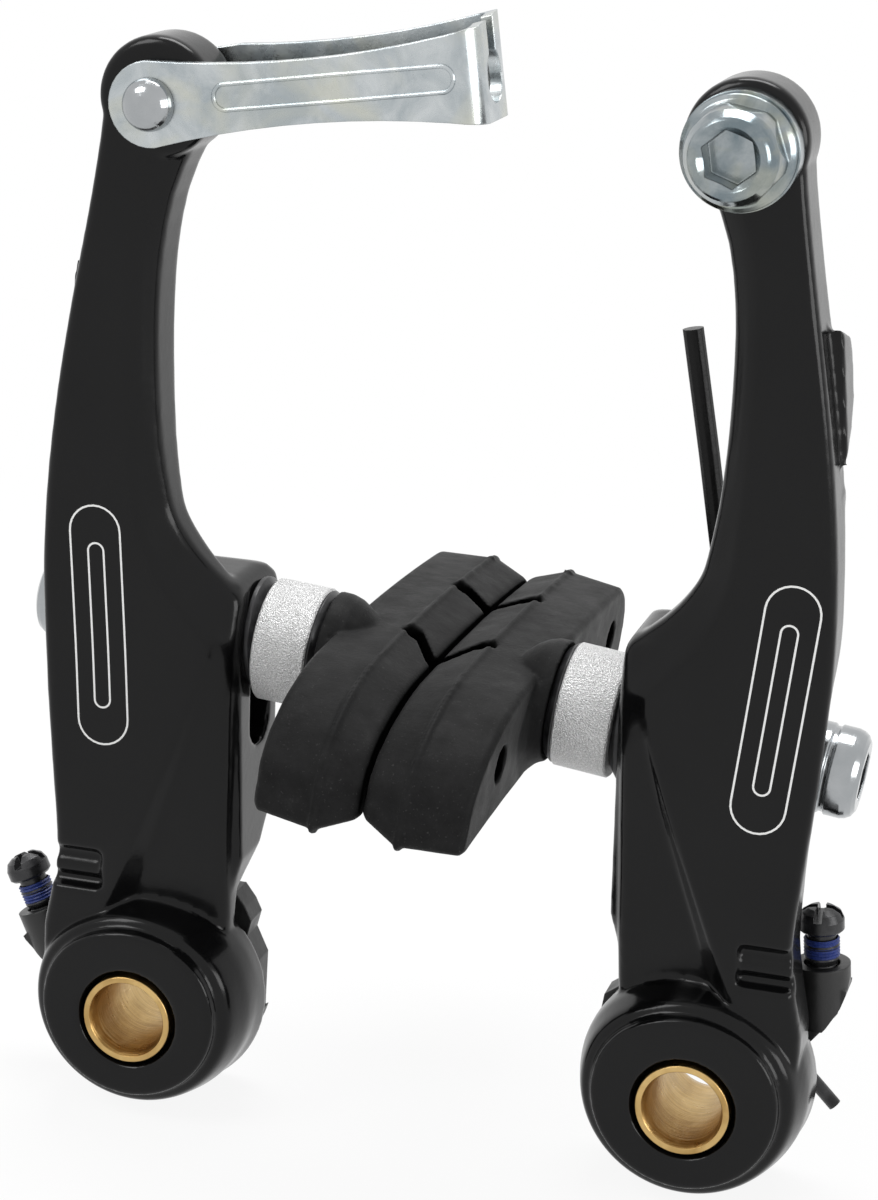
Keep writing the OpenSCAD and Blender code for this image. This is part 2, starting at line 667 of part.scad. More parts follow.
module pad(lift, lean) {
  at_stud(lift, lean) rotate([pad_tilt, 0, 0])
    translate([pad_back, 0, 0]) difference() {
      union() {
        pad_solid();
        // collar around the stud, with its spread foot
        intersection() {
          xturn([[0, 1.5], [10.6, 1.5], [10.2, -0.1], [8.4, -0.45],
            [7.4, -0.9], [7.1, -1.6], [0, -1.6]]);
          translate([-3, -12, -pad_back_h / 2 - 1.4])
            cube([6, 24, pad_back_h + 2]);
        }
      }
      water_notch(-4, 4);
      water_notch(18, 1.9);
      // mould holes in the back face
      for (y = [-17, 33]) xcyl(-1, y, 0.2 - pad_low(y), 2, 4.2);
      // room for the stud and its plate
      xcyl(-3, 0, 0, stud_d / 2 + 0.02, 5);
      translate([1, -13, -3.4]) cube([1.8, 26, 6.8]);
    }
}
module left_pad() {
  color([0.07, 0.07, 0.07]) left() pad(left_lift, left_lean);
}
module right_pad() {
  color([0.07, 0.07, 0.07]) right() pad(right_lift, right_lean);
}

module pad_stud(lift, lean) {
  x0 = wall_x - cup_t - thin_t - nut_h + 1.4;
  at_stud(lift, lean) {
    rotate([pad_tilt, 0, 0]) translate([pad_back + 1, -13, -3.4])
      cube([1.8, 26, 6.8]);
    xcyl(x0 + 0.5, 0, 0, stud_d / 2, pad_back + 1.2 - x0 - 0.5);
    translate([x0, 0, 0]) rotate([0, 90, 0])
      cylinder(d1 = stud_d - 1, d2 = stud_d, h = 0.51, $fn = 48);
  }
}
module left_pad_stud() {
  color([0.6, 0.6, 0.62]) left() pad_stud(left_lift, left_lean);
}
module right_pad_stud() {
  color([0.6, 0.6, 0.62]) right() pad_stud(right_lift, right_lean);
}

// bulge of a ball face at a radius, measured from its middle
function sag(r) = ball_r - sqrt(ball_r * ball_r - r * r);
function ball(r0, r1, x, s) =
  [for (i = [0:6]) let (r = r0 + (r1 - r0) * i / 6) [r, x - s * sag(r)]];
bore_r = stud_d / 2 + 0.15;
cup_r = spacer_d / 2 - 0.7;
// radius of the hollow ball faces, short of the rim so that they can lean
seat_r = sqrt(ball_r * ball_r - (ball_r - 1.6) * (ball_r - 1.6));
cup_bore = stud_d / 2 + 1.4;

// cup washer: flat on the arm, ball face away from it
module inner_cup(lift) {
  at_slot(lift) xturn(concat(ball(cup_bore, cup_r, cup_x + cup_t, 1),
    [[cup_r, cup_x], [cup_bore, cup_x]]));
}
// thick spacer: hollow ball face on the cup, flat to the pad
module spacer(lift, lean) {
  x = cup_x + cup_t + 0.03;
  f = cup_x + rim_gap + 0.03;
  r = spacer_d / 2;
  at_stud(lift, lean) xturn(concat(ball(bore_r, seat_r, x, 1),
    [[r - 0.2, f], [r, f + 0.2], [r, washer_x - 0.2], [r - 0.2, washer_x],
    [bore_r, washer_x]]));
}
module pad_washer(lift, lean) {
  r = spacer_d / 2 - 0.3;
  at_stud(lift, lean) xturn([[bore_r, washer_x], [r, washer_x],
    [r + 0.1, washer_x + 0.2], [r - 0.5, pad_back - 1.6],
    [bore_r, pad_back - 1.6]]);
}
module outer_cup(lift) {
  at_slot(lift) xturn(concat(ball(cup_bore, cup_r, wall_x - cup_t, -1),
    [[cup_r, wall_x], [cup_bore, wall_x]]));
}
module thin_spacer(lift, lean) {
  x = wall_x - cup_t - 0.03;
  f = wall_x - rim_gap - 0.03;
  r = thin_d / 2;
  at_stud(lift, lean) xturn(concat(ball(bore_r, seat_r, x, -1),
    [[r - 0.2, f], [r, f - 0.2], [r, x - thin_t + 0.2],
    [r - 0.2, x - thin_t], [bore_r, x - thin_t]]));
}
// round nut with a hexagon socket
module pad_nut(lift, lean) {
  x = wall_x - cup_t - thin_t - 0.03;
  r = nut_d / 2;
  at_stud(lift, lean) translate([x, 0, 0]) rotate([0, -90, 0]) difference() {
    rotate_extrude($fn = 64) polygon([[0, 0], [r - 0.3, 0], [r, 0.3],
      [r, 1.4], [r - 0.25, 1.65], [r - 0.25, 2], [r, 2.25],
      [r, nut_h - 1.5], [r - 0.15, nut_h - 0.9], [r - 0.5, nut_h - 0.35],
      [r - 1.1, nut_h], [0, nut_h]]);
    translate([0, 0, -1]) cylinder(d = stud_d + 0.02, h = nut_h - 0.3,
      $fn = 48);
    translate([0, 0, nut_h - 1.35]) hexbar(socket_af, 4);
  }
}

module left_inner_cup() {
  color([0.05, 0.05, 0.05]) left() inner_cup(left_lift);
}
module right_inner_cup() {
  color([0.05, 0.05, 0.05]) right() inner_cup(right_lift);
}
module left_spacer() {
  color([0.78, 0.78, 0.78]) left() spacer(left_lift, left_lean);
}
module right_spacer() {
  color([0.78, 0.78, 0.78]) right() spacer(right_lift, right_lean);
}
module left_pad_washer() {
  color([0.05, 0.05, 0.05]) left() pad_washer(left_lift, left_lean);
}
module right_pad_washer() {
  color([0.05, 0.05, 0.05]) right() pad_washer(right_lift, right_lean);
}
module left_outer_cup() {
  color([0.05, 0.05, 0.05]) left() outer_cup(left_lift);
}
module right_outer_cup() {
  color([0.05, 0.05, 0.05]) right() outer_cup(right_lift);
}
module left_thin_spacer() {
  color([0.78, 0.78, 0.78]) left() thin_spacer(left_lift, left_lean);
}
module right_thin_spacer() {
  color([0.78, 0.78, 0.78]) right() thin_spacer(right_lift, right_lean);
}
module left_pad_nut() {
  color([0.75, 0.75, 0.76]) left() pad_nut(left_lift, left_lean);
}
module right_pad_nut() {
  color([0.75, 0.75, 0.76]) right() pad_nut(right_lift, right_lean);
}

/* cable link and its rivet */
plate_y = head_front + head_thick / 2 - link_gap / 2;
link_mid = plate_y + link_gap / 2;

module at_link() {
  left() translate([head_x, 0, arm_length]) rotate([0, -link_tilt, 0])
    children();
}

// side outline of the link, from the rivet to the end plate
module link_outline() {
  h = link_h / 2;
  e = end_h / 2;
  w = link_waist / 2;
  // parabola through the rivet end, the waist and the end plate
  function edge(u) = h + (4 * w - 3 * h - e) * u
    + (2 * h + 2 * e - 4 * w) * u * u;
  low = [for (i = [1:10]) [link_len * i / 10, -edge(i / 10)]];
  high = [for (i = [10:-1:1]) [link_len * i / 10, edge(i / 10)]];
  polygon(concat(low, high, arc(0, 0, h, 90, 270, 16)));
}

// the sheet seen from above: two plates and an end joined by round bends
module link_path(d) {
  y0 = plate_y - d;
  y1 = plate_y + link_gap + d;
  r = link_bend - sheet + d;
  x1 = link_len - sheet + d;
  translate([-10, y0]) square([x1 - r + 10, y1 - y0]);
  translate([0, y0 + r]) square([x1, y1 - y0 - 2 * r]);
  for (y = [y0 + r, y1 - r]) translate([x1 - r, y]) circle(r, $fn = 48);
}

module cable_link() {
  color([0.75, 0.76, 0.76]) at_link() difference() {
    intersection() {
      translate([0, link_mid + 20, 0]) rotate([90, 0, 0])
        linear_extrude(height = 40) link_outline();
      translate([0, 0, -10]) linear_extrude(height = 20) link_path(sheet);
    }
    translate([0, 0, -11]) linear_extrude(height = 22) link_path(0);
    ycyl(0, plate_y - 4, 0, rivet_d / 2 + fit_clear, link_gap + 8, 48);
    // keyhole for the cable guide, open at the top
    xcyl(link_len - 4, link_mid, -0.6, key_d / 2, 8);
    translate([link_len - 4, link_mid - key_neck / 2, 0])
      cube([8, key_neck, end_h]);
  }
}

module link_rivet() {
  r = rivet_d / 2;
  h = rivet_head_d / 2;
  y0 = plate_y - sheet - fit_clear;
  y1 = plate_y + link_gap + sheet + fit_clear;
  dome = [for (i = [0:8]) let (a = i * 90 / 8)
    [h * sin(a), y0 - 0.2 - 2 * cos(a)]];
  color([0.85, 0.85, 0.86]) left() translate([head_x, 0, arm_length])
    yturn(concat(dome, [[h, y0], [r, y0], [r, y1], [h, y1],
      [h, y1 + 0.5], [h - 1, y1 + 1.3], [0, y1 + 1.5]]), 48);
}

/* cable anchor */
module at_anchor() {
  right() translate([head_x, head_front, arm_length]) rotate([90, 0, 0])
    children();
}

module cable_washer() {
  color([0.72, 0.73, 0.74]) at_anchor() difference() {
    cylinder(d = clamp_d, h = clamp_t, $fn = 64);
    translate([0, 0, -1]) cylinder(d = bolt_d + 0.3, h = 9, $fn = 48);
    // groove for the cable
    translate([-10, bolt_d / 2 + 0.1, -0.1]) rotate([0, 90, 0])
      cylinder(d = 1.8, h = 20, $fn = 24);
  }
}

module anchor_bolt() {
  r = bolt_af / 2 / cos(30);
  f = flange_d / 2;
  color([0.75, 0.77, 0.78]) at_anchor() translate([0, 0, clamp_t])
    difference() {
      union() {
        rotate_extrude($fn = 64) polygon([[0, 0], [f - 0.3, 0],
          [f, 0.3], [f, flange_t - 0.5], [f - 0.5, flange_t],
          [0, flange_t + 0.4]]);
        intersection() {
          rotate([0, 0, 10]) hexbar(bolt_af, flange_t + bolt_h);
          rotate_extrude($fn = 64) polygon([[0, 0], [r - 0.15, 0],
            [r - 0.35, flange_t + 0.6], [bolt_af / 2 + 0.02,
            flange_t + bolt_h - 1.5], [bolt_face_d / 2 + 0.2,
            flange_t + bolt_h - 0.25], [bolt_face_d / 2 - 0.1,
            flange_t + bolt_h], [0, flange_t + bolt_h]]);
        }
        translate([0, 0, -clamp_t - head_thick + 0.5])
          cylinder(d = bolt_d, h = clamp_t + head_thick, $fn = 48);
      }
      translate([0, 0, flange_t + bolt_h - 3.4]) rotate([0, 0, 20])
        hexbar(socket_af, 6);
      translate([0, 0, flange_t + bolt_h - 0.6])
        cylinder(d1 = socket_af, d2 = socket_af + 1.4, h = 0.61, $fn = 48);
    }
}

left_arm();
right_arm();
left_bush();
right_bush();
left_spring();
right_spring();
left_sleeve();
right_sleeve();
left_holder();
right_holder();
left_frame_pin();
right_frame_pin();
left_tension_screw();
right_tension_screw();
left_pad();
right_pad();
left_pad_stud();
right_pad_stud();
left_pad_washer();
right_pad_washer();
left_spacer();
right_spacer();
left_inner_cup();
right_inner_cup();
left_outer_cup();
right_outer_cup();
left_thin_spacer();
right_thin_spacer();
left_pad_nut();
right_pad_nut();
cable_link();
link_rivet();
anchor_bolt();
cable_washer();
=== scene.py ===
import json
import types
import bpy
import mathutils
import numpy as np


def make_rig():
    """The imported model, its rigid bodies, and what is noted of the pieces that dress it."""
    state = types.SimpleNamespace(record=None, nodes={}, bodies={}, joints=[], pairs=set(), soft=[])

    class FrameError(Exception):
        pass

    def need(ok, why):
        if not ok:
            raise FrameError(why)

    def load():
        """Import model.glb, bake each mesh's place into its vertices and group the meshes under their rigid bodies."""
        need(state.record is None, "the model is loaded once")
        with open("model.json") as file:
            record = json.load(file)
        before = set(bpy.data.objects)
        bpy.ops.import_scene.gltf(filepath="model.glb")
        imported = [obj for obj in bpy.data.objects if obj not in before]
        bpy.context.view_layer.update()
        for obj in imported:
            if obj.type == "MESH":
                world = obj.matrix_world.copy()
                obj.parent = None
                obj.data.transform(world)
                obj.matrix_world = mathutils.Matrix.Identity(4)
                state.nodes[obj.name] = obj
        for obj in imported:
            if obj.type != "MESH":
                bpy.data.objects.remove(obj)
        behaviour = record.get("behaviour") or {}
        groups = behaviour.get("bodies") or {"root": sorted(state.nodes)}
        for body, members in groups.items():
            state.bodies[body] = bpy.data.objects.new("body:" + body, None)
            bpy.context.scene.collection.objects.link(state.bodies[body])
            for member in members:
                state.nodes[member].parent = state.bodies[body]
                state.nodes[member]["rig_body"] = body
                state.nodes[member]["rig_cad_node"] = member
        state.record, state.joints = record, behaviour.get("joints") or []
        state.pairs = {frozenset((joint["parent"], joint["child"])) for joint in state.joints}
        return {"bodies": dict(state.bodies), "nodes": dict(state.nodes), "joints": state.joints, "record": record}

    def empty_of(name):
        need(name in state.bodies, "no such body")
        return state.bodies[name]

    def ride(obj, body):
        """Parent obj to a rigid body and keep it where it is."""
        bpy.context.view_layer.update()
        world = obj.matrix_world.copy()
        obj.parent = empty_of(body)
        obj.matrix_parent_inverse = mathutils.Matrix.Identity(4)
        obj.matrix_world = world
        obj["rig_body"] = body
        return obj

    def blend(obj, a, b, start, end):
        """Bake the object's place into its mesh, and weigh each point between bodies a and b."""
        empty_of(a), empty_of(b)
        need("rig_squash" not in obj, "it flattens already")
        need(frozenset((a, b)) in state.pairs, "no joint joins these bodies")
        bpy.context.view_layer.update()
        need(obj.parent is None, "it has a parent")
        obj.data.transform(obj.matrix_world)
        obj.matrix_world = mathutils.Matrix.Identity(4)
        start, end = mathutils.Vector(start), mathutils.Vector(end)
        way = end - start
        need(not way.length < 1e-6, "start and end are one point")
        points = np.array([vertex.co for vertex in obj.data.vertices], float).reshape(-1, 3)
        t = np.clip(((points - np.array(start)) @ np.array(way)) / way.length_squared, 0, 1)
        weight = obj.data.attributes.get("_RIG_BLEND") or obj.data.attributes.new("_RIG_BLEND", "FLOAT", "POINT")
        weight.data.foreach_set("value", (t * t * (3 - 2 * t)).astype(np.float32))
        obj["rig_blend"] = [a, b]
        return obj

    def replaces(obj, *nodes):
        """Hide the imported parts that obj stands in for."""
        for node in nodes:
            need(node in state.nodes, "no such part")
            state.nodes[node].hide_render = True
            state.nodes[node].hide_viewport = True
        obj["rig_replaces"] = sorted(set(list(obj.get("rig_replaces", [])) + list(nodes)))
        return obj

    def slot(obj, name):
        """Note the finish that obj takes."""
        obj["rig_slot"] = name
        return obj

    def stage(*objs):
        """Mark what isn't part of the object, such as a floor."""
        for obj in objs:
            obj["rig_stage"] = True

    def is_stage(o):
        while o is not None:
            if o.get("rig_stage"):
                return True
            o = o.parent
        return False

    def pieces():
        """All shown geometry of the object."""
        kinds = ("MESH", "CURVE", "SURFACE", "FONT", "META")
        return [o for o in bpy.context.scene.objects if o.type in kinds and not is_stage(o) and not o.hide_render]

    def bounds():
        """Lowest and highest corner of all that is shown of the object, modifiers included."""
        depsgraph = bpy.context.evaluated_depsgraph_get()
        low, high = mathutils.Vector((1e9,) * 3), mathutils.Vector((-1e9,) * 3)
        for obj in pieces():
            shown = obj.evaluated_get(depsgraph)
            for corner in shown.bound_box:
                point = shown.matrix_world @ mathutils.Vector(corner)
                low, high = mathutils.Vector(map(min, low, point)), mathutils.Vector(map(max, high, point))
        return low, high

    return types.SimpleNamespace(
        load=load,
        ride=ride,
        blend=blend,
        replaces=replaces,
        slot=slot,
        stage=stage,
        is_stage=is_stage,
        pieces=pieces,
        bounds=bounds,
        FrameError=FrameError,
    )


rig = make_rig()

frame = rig.load()

import json
import math

import bmesh
import bpy
from mathutils import Matrix, Vector
from mathutils.bvhtree import BVHTree

BOX_CAD = [list(c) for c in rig.bounds()]
MM = 0.001
SIDES = ("left", "right")
# sizes of the solids, in mm, and the turn of each spring holder, in degrees
SPACING, BUSH_LEN, ARM_LEN, HEAD_X = 63.4, 16.4, 101.9, 0.7
LUG_X, LUG_Y, LUG_Z, LUG_TILT = -11.6, 15.0, 12.9, 5
TURN = {"left": 29, "right": 0}
scene = bpy.context.scene
nodes = frame["nodes"]

# camera of the photo: angles in degrees, place in mm, the rest in pixels
CAM_ANGLES = 16.3456, 16.7028, 2.01385
CAM_PLACE = 86.09, -304.78, 146.76
PHOTO_H, PHOTO_MID, CAM_MID = 1200, (439, 600), (405.42, 589.22)
CAM_FOCUS, SENSOR = 3098.74, 24


def camera():
    a, e, roll = (math.radians(v) for v in CAM_ANGLES)
    back = Vector((math.sin(a) * math.cos(e), -math.cos(a) * math.cos(e),
                   math.sin(e)))
    right = Vector((math.cos(a), math.sin(a), 0))
    up = back.cross(right)
    r = right * math.cos(roll) + up * math.sin(roll)
    u = -right * math.sin(roll) + up * math.cos(roll)
    cam = bpy.data.cameras.new("camera")
    ob = bpy.data.objects.new("camera", cam)
    scene.collection.objects.link(ob)
    m = Matrix((r, u, back)).transposed().to_4x4()
    m.translation = Vector(CAM_PLACE) * MM
    ob.matrix_world = m
    cam.sensor_fit = "VERTICAL"
    cam.sensor_height = SENSOR
    cam.lens = SENSOR * CAM_FOCUS / PHOTO_H
    cam.shift_x = (PHOTO_MID[0] - CAM_MID[0]) / PHOTO_H
    cam.shift_y = -(PHOTO_MID[1] - CAM_MID[1]) / PHOTO_H
    cam.clip_start = 0.01
    cam.clip_end = 20
    scene.camera = ob


camera()


# materials, with lengths in metres
class Mat:
    """A node material with short helpers for noise, mixing and bump."""

    def __init__(self, name):
        self.m = bpy.data.materials.new(name)
        self.m.use_nodes = True
        t = self.m.node_tree
        t.nodes.clear()
        self.t = t
        self.out = t.nodes.new("ShaderNodeOutputMaterial")
        self.b = t.nodes.new("ShaderNodeBsdfPrincipled")
        t.links.new(self.b.outputs[0], self.out.inputs[0])
        self.pos = t.nodes.new("ShaderNodeTexCoord").outputs["Object"]

    def set(self, **kw):
        for k, v in kw.items():
            self.b.inputs[k.replace("_", " ")].default_value = v

    def link(self, a, b):
        self.t.links.new(a, b)

    def feed(self, **kw):
        for k, v in kw.items():
            self.link(v, self.b.inputs[k.replace("_", " ")])

    def noise(self, scale, detail=3, rough=0.55, vec=None, distort=0.0):
        n = self.t.nodes.new("ShaderNodeTexNoise")
        n.inputs["Scale"].default_value = scale
        n.inputs["Detail"].default_value = detail
        n.inputs["Roughness"].default_value = rough
        n.inputs["Distortion"].default_value = distort
        self.link(vec or self.pos, n.inputs["Vector"])
        return n.outputs["Fac"]

    def voronoi(self, scale):
        n = self.t.nodes.new("ShaderNodeTexVoronoi")
        n.inputs["Scale"].default_value = scale
        self.link(self.pos, n.inputs["Vector"])
        return n.outputs["Distance"]

    def ramp(self, fac, stops):
        n = self.t.nodes.new("ShaderNodeValToRGB")
        el = n.color_ramp.elements
        while len(el) < len(stops):
            el.new(0.5)
        for e, (p, c) in zip(el, stops):
            e.position = p
            e.color = (*c, 1)
        self.link(fac, n.inputs[0])
        return n.outputs["Color"]

    def remap(self, fac, *ends):
        """From the first two values to the last two."""
        n = self.t.nodes.new("ShaderNodeMapRange")
        for i, v in enumerate(ends, 1):
            n.inputs[i].default_value = v
        self.link(fac, n.inputs[0])
        return n.outputs[0]

    def rough(self, low, high, *noise):
        """Roughness that wanders between low and high."""
        self.feed(Roughness=self.remap(self.noise(*noise), 0.3, 0.7, low,
                                       high))

    def times(self, a, b):
        n = self.t.nodes.new("ShaderNodeMath")
        n.operation = "MULTIPLY"
        for i, v in enumerate((a, b)):
            if isinstance(v, (int, float)):
                n.inputs[i].default_value = v
            else:
                self.link(v, n.inputs[i])
        return n.outputs[0]

    def mix(self, fac, a, b):
        n = self.t.nodes.new("ShaderNodeMix")
        n.data_type = "RGBA"
        for s, v in (("Factor_Float", fac), ("A_Color", a), ("B_Color", b)):
            k = next(i for i in n.inputs if i.identifier == s)
            if isinstance(v, bpy.types.NodeSocket):
                self.link(v, k)
            else:
                k.default_value = (*v, 1)
        return next(o for o in n.outputs if o.identifier == "Result_Color")

    def scaled(self, x, y, z):
        n = self.t.nodes.new("ShaderNodeMapping")
        n.inputs["Scale"].default_value = (x, y, z)
        self.link(self.pos, n.inputs["Vector"])
        return n.outputs[0]

    def bump(self, height, dist, strength=1.0, prev=None):
        n = self.t.nodes.new("ShaderNodeBump")
        n.inputs["Distance"].default_value = dist
        n.inputs["Strength"].default_value = strength
        self.link(height, n.inputs["Height"])
        if prev is not None:
            self.link(prev, n.inputs["Normal"])
        return n.outputs[0]

    def bevel(self, radius):
        n = self.t.nodes.new("ShaderNodeBevel")
        n.samples = 6
        n.inputs["Radius"].default_value = radius
        return n.outputs[0]

    def hollow(self, reach):
        """How open the surface lies, near 0 down in narrow slots."""
        n = self.t.nodes.new("ShaderNodeAmbientOcclusion")
        n.samples = 8
        n.inputs["Distance"].default_value = reach
        return n.outputs["AO"]


def gloss_black():
    m = Mat("gloss_black")
    m.feed(Base_Color=m.ramp(m.noise(60, 4), [
        (0.3, (0.0022, 0.0022, 0.0024)), (0.7, (0.0036, 0.0036, 0.0038))]))
    m.rough(0.15, 0.24, 140, 5, 0.6)
    m.set(Specular_IOR_Level=0.17, Coat_Weight=0.09, Coat_Roughness=0.05)
    peel = m.bump(m.noise(900, 2), 0.00006, 0.25)
    m.feed(Normal=m.bump(m.noise(5200, 4, 0.7), 0.000008, 0.3, peel))
    return m.m


def brass():
    m = Mat("turned_brass")
    ring = m.noise(1, 3, 0.6, vec=m.scaled(200, 7000, 200))
    stain = m.times(m.noise(170, 5), m.remap(ring, 0.3, 0.7, 0.7, 1.3))
    m.feed(Base_Color=m.mix(m.remap(stain, 0.32, 0.68, 0, 1),
                            (0.36, 0.22, 0.075), (0.62, 0.43, 0.18)))
    m.rough(0.24, 0.42, 420, 5, 0.7)
    m.set(Metallic=1.0)
    n = m.bump(ring, 0.00006, 0.9, m.bevel(0.00010))
    m.feed(Normal=m.bump(m.noise(2600, 3), 0.00002, 0.35, n))
    return m.m


def zinc(name="zinc", tone=0.50, rough=(0.2, 0.34)):
    """Zinc plate: blue-grey with faint yellow clouds."""
    m = Mat(name)
    lo = (tone - 0.13, tone - 0.09, tone - 0.07)
    hi = (tone + 0.06, tone + 0.09, tone + 0.10)
    straw = (tone + 0.07, tone + 0.07, tone - 0.02)
    plate = m.mix(m.remap(m.noise(200, 6, 0.6, distort=0.6), 0.35, 0.65, 0, 1),
                  lo, hi)
    cloud = m.remap(m.noise(110, 3, distort=1.2), 0.5, 0.72, 0, 0.6)
    m.feed(Base_Color=m.mix(cloud, plate, straw))
    m.rough(*rough, 520, 6, 0.7)
    m.set(Metallic=1.0)
    n = m.bump(m.noise(700, 4), 0.00005, 0.35, m.bevel(0.00025))
    m.feed(Normal=m.bump(m.noise(4200, 3), 0.00001, 0.4, n))
    return m.m


def polished():
    m = Mat("polished_steel")
    m.feed(Base_Color=m.mix(m.noise(300, 4), (0.30, 0.32, 0.33),
                            (0.44, 0.45, 0.46)))
    m.rough(0.10, 0.2, 800, 5, 0.7)
    m.set(Metallic=1.0)
    m.feed(Normal=m.bump(m.noise(1500, 3), 0.00002, 0.3, m.bevel(0.0002)))
    return m.m


def blasted():
    m = Mat("blasted_aluminium")
    grain = m.voronoi(5200)
    fine = m.noise(9000, 3, 0.7)
    m.feed(Base_Color=m.ramp(fine, [(0.34, (0.30, 0.30, 0.30)),
                                    (0.5, (0.52, 0.52, 0.52)),
                                    (0.66, (0.82, 0.82, 0.82))]))
    m.rough(0.36, 0.52, 3200, 3)
    m.set(Metallic=0.6)
    n = m.bump(grain, 0.00012, 1.0, m.bevel(0.00025))
    m.feed(Normal=m.bump(fine, 0.00006, 1.0, n))
    return m.m


def rubber():
    m = Mat("pad_rubber")
    dust = m.remap(m.noise(3800, 2, 0.5), 0.66, 0.74, 0, 0.5)
    body = m.ramp(m.noise(420, 6, 0.65), [(0.3, (0.0090, 0.0090, 0.0091)),
                                          (0.62, (0.0140, 0.0140, 0.0142)),
                                          (0.8, (0.024, 0.024, 0.024))])
    # painted shade: base colour, sheen and specular fall towards black in narrow slots, notches and gaps, where
    # ambient occlusion is low
    painted_slot_shade = m.remap(m.hollow(0.006), 0.55, 0.92, 0.02, 1)
    m.feed(Base_Color=m.mix(painted_slot_shade, (0.001, 0.001, 0.001),
                            m.mix(dust, body, (0.06, 0.06, 0.058))),
           Sheen_Weight=m.times(painted_slot_shade, 0.10),
           Specular_IOR_Level=m.times(painted_slot_shade, 0.05))
    m.rough(0.42, 0.62, 260, 5, 0.6)
    m.set(Sheen_Roughness=0.35)
    n = m.bump(m.noise(2600, 5, 0.7), 0.00006, 0.6)
    m.feed(Normal=m.bump(m.noise(420, 3), 0.00016, 0.3, n))
    return m.m


def black_plastic(name="holder_plastic", rough=(0.3, 0.45), base=0.010,
                  spec=0.4):
    m = Mat(name)
    m.feed(Base_Color=m.mix(m.noise(300, 4), (base,) * 3, (base * 1.7,) * 3))
    m.rough(*rough, 600, 4)
    m.set(Specular_IOR_Level=spec)
    m.feed(Normal=m.bump(m.noise(2400, 4, 0.6), 0.00004, 0.5,
                         m.bevel(0.0003)))
    return m.m


def black_steel(name="black_steel", rough=(0.28, 0.42), edge=0.0002):
    m = Mat(name)
    m.feed(Base_Color=m.mix(m.remap(m.noise(500, 5), 0.4, 0.65, 0, 1),
                            (0.013, 0.013, 0.014), (0.034, 0.034, 0.036)))
    m.rough(*rough, 900, 4)
    m.set(Metallic=0.35)
    m.feed(Normal=m.bump(m.noise(2800, 4), 0.00003, 0.4, m.bevel(edge)))
    return m.m


def thread_lock():
    m = Mat("thread_lock")
    m.feed(Base_Color=m.mix(m.noise(900, 5), (0.004, 0.010, 0.06),
                            (0.02, 0.05, 0.28)))
    m.rough(0.4, 0.6, 1600, 4)
    m.feed(Normal=m.bump(m.noise(3000, 4), 0.00012, 0.7))
    return m.m


def white_ink():
    m = Mat("white_ink")
    m.feed(Base_Color=m.mix(m.noise(2500, 3), (0.70, 0.70, 0.69),
                            (0.80, 0.80, 0.79)))
    m.rough(0.32, 0.5, 1800, 3)
    return m.m


MATS = {"arm": gloss_black(), "brass": brass(), "zinc": zinc(),
        "bolt": zinc("zinc_bolt", 0.30, (0.12, 0.24)),
        "polished": polished(), "blasted": blasted(), "rubber": rubber(),
        "plastic": black_plastic(), "steel": black_steel(),
        "screw": black_steel("black_screw", (0.22, 0.36), 0.00012),
        "sleeve": black_plastic("sleeve_plastic", (0.2, 0.34), 0.004, 0.16),
        "lock": thread_lock(), "ink": white_ink()}

FINISH = {"arm": "arm", "bush": "brass", "spring": "steel",
          "sleeve": "sleeve", "holder": "plastic", "frame_pin": "steel",
          "tension_screw": "screw", "pad": "rubber", "pad_stud": "zinc",
          "pad_washer": "steel", "spacer": "blasted", "inner_cup": "steel",
          "outer_cup": "steel", "thin_spacer": "blasted",
          "pad_nut": "polished", "cable_link": "zinc",
          "link_rivet": "polished", "anchor_bolt": "bolt",
          "cable_washer": "bolt"}
for name, ob in nodes.items():
    sided = name.startswith(("left_", "right_"))
    mat = MATS[FINISH[name.split("_", 1)[1] if sided else name]]
    if not ob.data.materials:
        ob.data.materials.append(mat)
    for i in range(len(ob.material_slots)):
        ob.material_slots[i].material = mat


# pieces
def new_object(name, mesh, mat):
    ob = bpy.data.objects.new(name, mesh)
    scene.collection.objects.link(ob)
    mesh.materials.clear()
    mesh.materials.append(mat)
    return ob


def from_bmesh(bm, name, mat, outwards=True):
    """New object from the bmesh, its faces turned outwards if closed."""
    if outwards:
        bmesh.ops.recalc_face_normals(bm, faces=bm.faces)
    me = bpy.data.meshes.new(name)
    bm.to_mesh(me)
    bm.free()
    return new_object(name, me, mat)


def skin(bm, rings):
    """Faces between each two rings that follow each other."""
    n = len(rings[0])
    for a, b in zip(rings, rings[1:]):
        for k in range(n):
            j = (k + 1) % n
            bm.faces.new((a[k], a[j], b[j], b[k]))


def cap(bm, rings):
    bm.faces.new(list(reversed(rings[0])))
    bm.faces.new(rings[-1])


def smooth(ob):
    ob.data.polygons.foreach_set("use_smooth",
                                 [True] * len(ob.data.polygons))


def apply_modifiers(ob):
    dg = bpy.context.evaluated_depsgraph_get()
    mesh = bpy.data.meshes.new_from_object(ob.evaluated_get(dg))
    mats = list(ob.data.materials)
    ob.modifiers.clear()
    old = ob.data
    ob.data = mesh
    ob.data.materials.clear()
    for m in mats:
        ob.data.materials.append(m)
    bpy.data.meshes.remove(old)


def node_copy(node, name, mat):
    """The node's own solid as a new closed mesh."""
    me = nodes[node].data.copy()
    bm = bmesh.new()
    bm.from_mesh(me)
    bmesh.ops.remove_doubles(bm, verts=bm.verts, dist=1e-7)
    bm.to_mesh(me)
    bm.free()
    return new_object(name, me, mat)


def solid(rings, place):
    """Closed mesh through rings of points (mm), capped at both ends."""
    bm = bmesh.new()
    rows = [[bm.verts.new(place(*p)) for p in ring] for ring in rings]
    skin(bm, rows)
    cap(bm, rows)
    return from_bmesh(bm, "part", MATS["rubber"])


